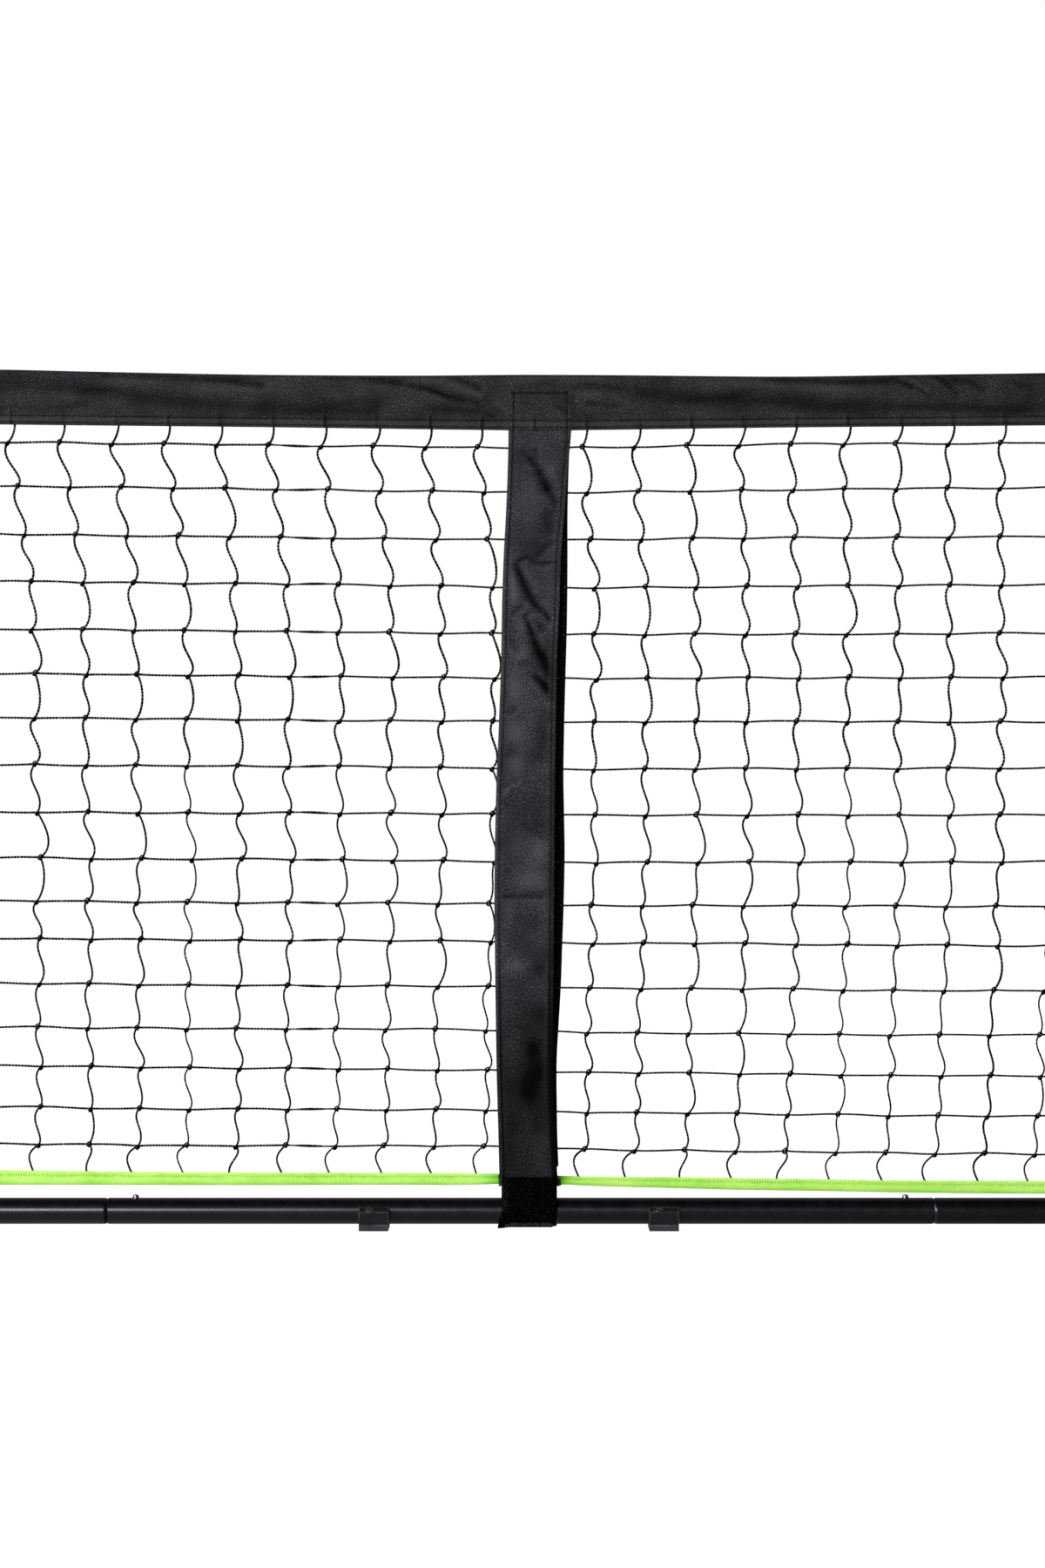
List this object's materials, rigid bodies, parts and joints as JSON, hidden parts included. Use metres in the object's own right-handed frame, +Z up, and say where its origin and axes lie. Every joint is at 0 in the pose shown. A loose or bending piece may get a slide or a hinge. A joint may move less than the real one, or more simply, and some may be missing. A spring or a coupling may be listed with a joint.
{
  "type": "portable court net",
  "caption": "Low portable court net with headband, centre strap and coloured bottom binding, on a knock-down steel tube frame with poles and cross feet.",
  "frame": {"origin": "on the floor, midway between the two poles, under the net", "axes": "+X along the net to the right, +Y through the net away from the viewer, +Z up"},
  "size_m": [6.743, 0.79, 0.929],
  "materials": {
    "tube_black": "satin black powder coat",
    "spring_steel": "plain spring strip",
    "button_nickel": "bright nickel plate",
    "screw_steel": "blackened steel",
    "cap_plastic": "moulded black",
    "foot_plastic": "moulded black, slightly scuffed",
    "foot_rubber": "black rubber",
    "net_twine": "twisted polyethylene twine",
    "headband_cloth": "black woven polyester",
    "rope_white": "braided cord",
    "binding_lime": "lime woven tape",
    "strap_webbing": "black nylon cloth, stitched edges",
    "loop_tape": "black napped loop tape",
    "hook_tape": "black hook tape",
    "tie_webbing": "black ribbed webbing"
  },
  "bodies": {
    "frame": {"bottom_binding": "binding_lime", "button_springs": "spring_steel", "centre_foot_left": "foot_plastic", "centre_foot_pad_left": "foot_rubber", "centre_foot_pad_right": "foot_rubber", "centre_foot_right": "foot_plastic", "centre_foot_screws": "screw_steel", "centre_tube": "tube_black", "corner_tie_left": "tie_webbing", "corner_tie_right": "tie_webbing", "foot_cap_left_back": "foot_rubber", "foot_cap_left_front": "foot_rubber", "foot_cap_right_back": "foot_rubber", "foot_cap_right_front": "foot_rubber", "foot_tube_left_back": "tube_black", "foot_tube_left_front": "tube_black", "foot_tube_right_back": "tube_black", "foot_tube_right_front": "tube_black", "headband": "headband_cloth", "headband_rope": "rope_white", "hub_left": "tube_black", "hub_right": "tube_black", "net": "net_twine", "side_sleeve_left": "headband_cloth", "side_sleeve_right": "headband_cloth", "side_tube_left_1": "tube_black", "side_tube_left_2": "tube_black", "side_tube_left_3": "tube_black", "side_tube_right_1": "tube_black", "side_tube_right_2": "tube_black", "side_tube_right_3": "tube_black", "strap_back": "strap_webbing", "strap_front": "strap_webbing", "strap_hook_patch": "hook_tape", "strap_wrap": "loop_tape"},
    "button_foot_left_back": {"button_foot_left_back": "button_nickel"},
    "button_foot_left_front": {"button_foot_left_front": "button_nickel"},
    "button_foot_right_back": {"button_foot_right_back": "button_nickel"},
    "button_foot_right_front": {"button_foot_right_front": "button_nickel"},
    "button_left_1": {"button_left_1": "button_nickel"},
    "button_left_2": {"button_left_2": "button_nickel"},
    "button_left_3": {"button_left_3": "button_nickel"},
    "button_left_4": {"button_left_4": "button_nickel"},
    "button_right_1": {"button_right_1": "button_nickel"},
    "button_right_2": {"button_right_2": "button_nickel"},
    "button_right_3": {"button_right_3": "button_nickel"},
    "button_right_4": {"button_right_4": "button_nickel"},
    "pole_left": {"pole_left": "tube_black", "pole_cap_left": "cap_plastic"},
    "pole_right": {"pole_right": "tube_black", "pole_cap_right": "cap_plastic"},
    "strap_tail": {"strap_tail": "loop_tape"}
  },
  "joints": [
    {"name": "press_button_foot_left_back", "type": "slide", "parent": "frame", "child": "button_foot_left_back", "axis": [0, 0, -1], "range_m": [0, 0.0047], "stiffness_N_per_m": 1500, "springref_m": -0.002, "deforming": ["button_springs"]},
    {"name": "press_button_foot_left_front", "type": "slide", "parent": "frame", "child": "button_foot_left_front", "axis": [0, 0, -1], "range_m": [0, 0.0047], "stiffness_N_per_m": 1500, "springref_m": -0.002, "deforming": ["button_springs"]},
    {"name": "press_button_foot_right_back", "type": "slide", "parent": "frame", "child": "button_foot_right_back", "axis": [0, 0, -1], "range_m": [0, 0.0047], "stiffness_N_per_m": 1500, "springref_m": -0.002, "deforming": ["button_springs"]},
    {"name": "press_button_foot_right_front", "type": "slide", "parent": "frame", "child": "button_foot_right_front", "axis": [0, 0, -1], "range_m": [0, 0.0047], "stiffness_N_per_m": 1500, "springref_m": -0.002, "deforming": ["button_springs"]},
    {"name": "press_button_left_1", "type": "slide", "parent": "frame", "child": "button_left_1", "axis": [0, 0, -1], "range_m": [0, 0.0047], "stiffness_N_per_m": 1500, "springref_m": -0.002, "deforming": ["button_springs"]},
    {"name": "press_button_left_2", "type": "slide", "parent": "frame", "child": "button_left_2", "axis": [0, 0, -1], "range_m": [0, 0.0047], "stiffness_N_per_m": 1500, "springref_m": -0.002, "deforming": ["button_springs"]},
    {"name": "press_button_left_3", "type": "slide", "parent": "frame", "child": "button_left_3", "axis": [0, 0, -1], "range_m": [0, 0.0047], "stiffness_N_per_m": 1500, "springref_m": -0.002, "deforming": ["button_springs"]},
    {"name": "press_button_left_4", "type": "slide", "parent": "frame", "child": "button_left_4", "axis": [0, 0, -1], "range_m": [0, 0.0047], "stiffness_N_per_m": 1500, "springref_m": -0.002, "deforming": ["button_springs"]},
    {"name": "press_button_right_1", "type": "slide", "parent": "frame", "child": "button_right_1", "axis": [0, 0, -1], "range_m": [0, 0.0047], "stiffness_N_per_m": 1500, "springref_m": -0.002, "deforming": ["button_springs"]},
    {"name": "press_button_right_2", "type": "slide", "parent": "frame", "child": "button_right_2", "axis": [0, 0, -1], "range_m": [0, 0.0047], "stiffness_N_per_m": 1500, "springref_m": -0.002, "deforming": ["button_springs"]},
    {"name": "press_button_right_3", "type": "slide", "parent": "frame", "child": "button_right_3", "axis": [0, 0, -1], "range_m": [0, 0.0047], "stiffness_N_per_m": 1500, "springref_m": -0.002, "deforming": ["button_springs"]},
    {"name": "press_button_right_4", "type": "slide", "parent": "frame", "child": "button_right_4", "axis": [0, 0, -1], "range_m": [0, 0.0047], "stiffness_N_per_m": 1500, "springref_m": -0.002, "deforming": ["button_springs"]},
    {"name": "lift_pole_left", "type": "slide", "parent": "frame", "child": "pole_left", "axis": [0, 0, 1], "range_m": [0, 0.085]},
    {"name": "lift_pole_right", "type": "slide", "parent": "frame", "child": "pole_right", "axis": [0, 0, 1], "range_m": [0, 0.085]},
    {"name": "peel_strap_tail", "type": "hinge", "parent": "frame", "child": "strap_tail", "pos_m": [0.0084, 0.0144, 0.028], "axis": [-1, 0, 0], "range_deg": [0, 100]}
  ]
}
